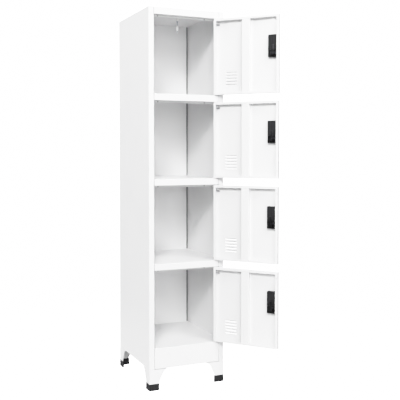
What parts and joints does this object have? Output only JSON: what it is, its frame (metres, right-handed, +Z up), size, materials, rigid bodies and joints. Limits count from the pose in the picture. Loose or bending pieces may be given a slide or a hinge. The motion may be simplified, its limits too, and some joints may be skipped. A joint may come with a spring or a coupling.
{
  "type": "locker cabinet",
  "caption": "Tall narrow white steel locker with stacked compartments, hinged louvred doors with cup handles and key locks, on splayed sheet legs.",
  "frame": {"origin": "on the floor, at the centre of the body's footprint between the four feet", "axes": "+X to the right and +Y to the back as seen from the front, +Z up"},
  "size_m": [0.5624, 0.7109, 1.8],
  "materials": {
    "white_powder_coat": "satin powder coat with fine orange peel",
    "hook_white": "smooth white coating",
    "black_plastic": "finely textured moulding",
    "zinc_plate": "bright zinc plate",
    "lock_metal": "dark plated zinc",
    "nylon": "natural nylon",
    "buffer_rubber": "soft matt rubber"
  },
  "bodies": {
    "carcass": {"left_side_panel": "white_powder_coat", "right_side_panel": "white_powder_coat", "back_panel": "white_powder_coat", "top_panel": "white_powder_coat", "shelf_1": "white_powder_coat", "shelf_2": "white_powder_coat", "shelf_3": "white_powder_coat", "bottom_panel": "white_powder_coat", "leg_front_left": "white_powder_coat", "leg_front_right": "white_powder_coat", "leg_rear_left": "white_powder_coat", "leg_rear_right": "white_powder_coat", "foot_cap_front_left": "black_plastic", "foot_cap_front_right": "black_plastic", "foot_cap_rear_left": "black_plastic", "foot_cap_rear_right": "black_plastic", "coat_hook": "hook_white", "hook_rivets": "zinc_plate", "hinge_washers": "nylon", "door_buffers": "buffer_rubber"},
    "door_1": {"door_1_panel": "white_powder_coat", "door_1_stiffener": "white_powder_coat", "door_1_hinge_bracket": "white_powder_coat", "door_1_hinge_pins": "zinc_plate", "door_1_handle": "black_plastic", "door_1_card_frame": "white_powder_coat", "door_1_lock_barrel": "lock_metal", "door_1_lock_nut": "lock_metal"},
    "lock_1": {"door_1_lock_plug": "lock_metal", "door_1_lock_cam": "lock_metal"},
    "door_2": {"door_2_panel": "white_powder_coat", "door_2_stiffener": "white_powder_coat", "door_2_hinge_bracket": "white_powder_coat", "door_2_hinge_pins": "zinc_plate", "door_2_handle": "black_plastic", "door_2_card_frame": "white_powder_coat", "door_2_lock_barrel": "lock_metal", "door_2_lock_nut": "lock_metal"},
    "lock_2": {"door_2_lock_plug": "lock_metal", "door_2_lock_cam": "lock_metal"},
    "door_3": {"door_3_panel": "white_powder_coat", "door_3_stiffener": "white_powder_coat", "door_3_hinge_bracket": "white_powder_coat", "door_3_hinge_pins": "zinc_plate", "door_3_handle": "black_plastic", "door_3_card_frame": "white_powder_coat", "door_3_lock_barrel": "lock_metal", "door_3_lock_nut": "lock_metal"},
    "lock_3": {"door_3_lock_plug": "lock_metal", "door_3_lock_cam": "lock_metal"},
    "door_4": {"door_4_panel": "white_powder_coat", "door_4_stiffener": "white_powder_coat", "door_4_hinge_bracket": "white_powder_coat", "door_4_hinge_pins": "zinc_plate", "door_4_handle": "black_plastic", "door_4_card_frame": "white_powder_coat", "door_4_lock_barrel": "lock_metal", "door_4_lock_nut": "lock_metal"},
    "lock_4": {"door_4_lock_plug": "lock_metal", "door_4_lock_cam": "lock_metal"}
  },
  "joints": [
    {"name": "door_1_hinge", "type": "hinge", "parent": "carcass", "child": "door_1", "pos_m": [0.1565, -0.223, 1.58175], "axis": [0, 0, 1], "range_deg": [-130.6, 2.9]},
    {"name": "door_2_hinge", "type": "hinge", "parent": "carcass", "child": "door_2", "pos_m": [0.1565, -0.223, 1.18225], "axis": [0, 0, 1], "range_deg": [-129.7, 3.8]},
    {"name": "door_3_hinge", "type": "hinge", "parent": "carcass", "child": "door_3", "pos_m": [0.1565, -0.223, 0.78275], "axis": [0, 0, 1], "range_deg": [-129, 4.5]},
    {"name": "door_4_hinge", "type": "hinge", "parent": "carcass", "child": "door_4", "pos_m": [0.1565, -0.223, 0.38325], "axis": [0, 0, 1], "range_deg": [-129.4, 4.1]},
    {"name": "lock_1_turn", "type": "hinge", "parent": "door_1", "child": "lock_1", "pos_m": [0.34192, -0.44471, 1.584], "axis": [0.7593, 0.6508, 0], "range_deg": [0, 90]},
    {"name": "lock_2_turn", "type": "hinge", "parent": "door_2", "child": "lock_2", "pos_m": [0.33841, -0.44759, 1.1845], "axis": [0.7694, 0.6388, 0], "range_deg": [0, 90]},
    {"name": "lock_3_turn", "type": "hinge", "parent": "door_3", "child": "lock_3", "pos_m": [0.33565, -0.4498, 0.785], "axis": [0.7771, 0.6293, 0], "range_deg": [0, 90]},
    {"name": "lock_4_turn", "type": "hinge", "parent": "door_4", "child": "lock_4", "pos_m": [0.33723, -0.44854, 0.3855], "axis": [0.7727, 0.6347, 0], "range_deg": [0, 90]}
  ]
}
